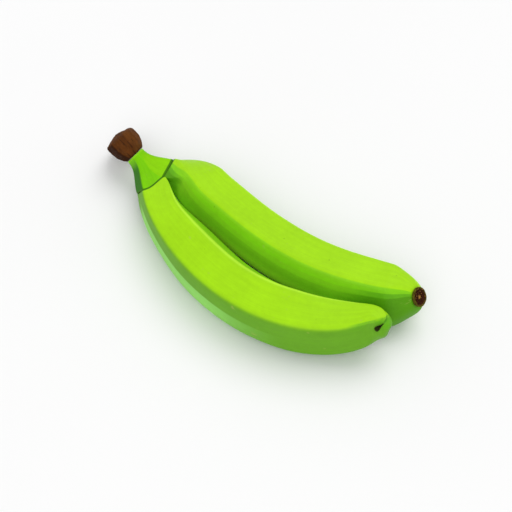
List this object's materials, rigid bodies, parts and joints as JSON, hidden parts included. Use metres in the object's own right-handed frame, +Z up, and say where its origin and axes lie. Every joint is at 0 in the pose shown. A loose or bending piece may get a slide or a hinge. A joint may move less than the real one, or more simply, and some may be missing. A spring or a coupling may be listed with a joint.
{
  "type": "bunch of green bananas",
  "caption": "Small bunch of unripe green bananas joined at one crown with a dried cut stem, lying on its side.",
  "frame": {"origin": "on the surface that the bunch lies on, under the middle of its box", "axes": "+X runs along the bunch from the dried stem towards the tips, +Y is the hollow side of the curve, +Z is up"},
  "size_m": [0.2394, 0.0944, 0.0345],
  "materials": {
    "green_skin": "unripe banana skin, bright yellow-green, waxy and half matt, smooth with soft ridges",
    "crown_skin": "green skin of the crown and its stalks, slightly darker and more fibrous than the bananas",
    "dried_stem": "dried brown cut end of the stem, matt and fibrous",
    "dried_blossom": "dried blossom mark, very dark brown, matt and crumbly"
  },
  "bodies": {
    "root": {"crown": "crown_skin", "cut_stub": "dried_stem", "front_banana": "green_skin", "back_banana": "green_skin", "front_blossom_scar": "dried_blossom", "back_blossom_scar": "dried_blossom"}
  },
  "joints": []
}
